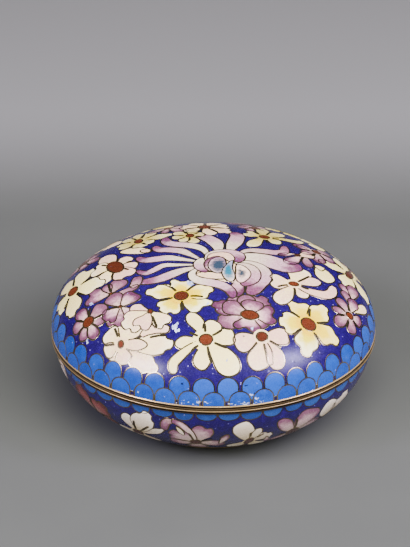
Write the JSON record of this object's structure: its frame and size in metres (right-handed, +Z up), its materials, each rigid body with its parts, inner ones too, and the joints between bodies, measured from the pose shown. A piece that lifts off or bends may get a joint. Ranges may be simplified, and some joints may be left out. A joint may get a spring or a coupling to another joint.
{
  "type": "cloisonne enamel box",
  "caption": "Round cloisonne enamel box: domed lift-off lid over a shallow bowl on a low brass foot ring, with half-round brass rims at the seam and a locating lip inside.",
  "frame": {"origin": "centre of the foot ring's underside, on the box's axis", "axes": "+Z up along the box's axis; the box is round, so +X and +Y are free, and -Y faces the viewer"},
  "size_m": [0.13, 0.13, 0.0658],
  "materials": {
    "enamel_cobalt": "gloss",
    "brass_rim": "satin",
    "cloison_wire": "satin",
    "enamel_azure": "gloss",
    "enamel_cream": "gloss",
    "enamel_pink": "gloss",
    "enamel_yellow": "gloss",
    "enamel_brick_red": "gloss",
    "enamel_turquoise": "gloss"
  },
  "bodies": {
    "root": {"foot_ring": "brass_rim", "base_bowl": "enamel_cobalt", "base_rim": "brass_rim", "lid_rim": "brass_rim", "lid_dome": "enamel_cobalt"}
  },
  "joints": []
}
